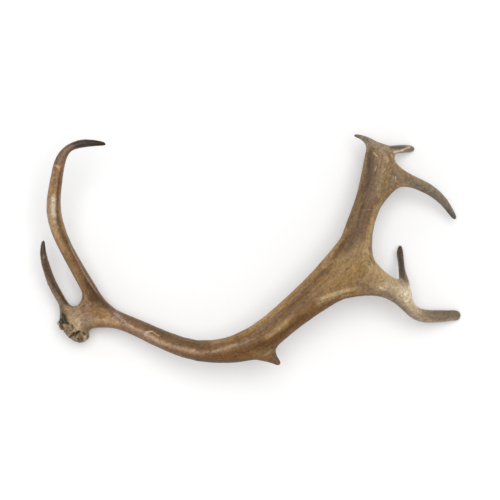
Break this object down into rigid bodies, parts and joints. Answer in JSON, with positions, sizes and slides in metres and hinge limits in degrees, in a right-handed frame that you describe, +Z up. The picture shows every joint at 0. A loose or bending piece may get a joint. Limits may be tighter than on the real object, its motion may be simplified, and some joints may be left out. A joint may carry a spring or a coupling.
{
  "type": "reindeer shed antler",
  "caption": "Shed antler with a rough crown, a curved beam, a long forward tine, a short brow tine, a flat palm and forked upper branches, lying on its side.",
  "frame": {"origin": "centre of the overall box in plan, on the surface that the antler lies on", "axes": "+X from the crown end to the upper branches, +Y the way the long tine points, +Z up through the outer side"},
  "size_m": [0.6364, 0.3464, 0.1097],
  "materials": {
    "beam_antler": "dry weathered antler bone, satin on the ridges",
    "tine_antler": "dry darker antler bone, smooth toward the tips"
  },
  "bodies": {
    "root": {"main_beam": "beam_antler", "brow_tine": "tine_antler", "bez_tine": "beam_antler", "upper_branch": "beam_antler", "curved_tine": "tine_antler", "lower_branch": "beam_antler", "inner_tine": "tine_antler"}
  },
  "joints": []
}
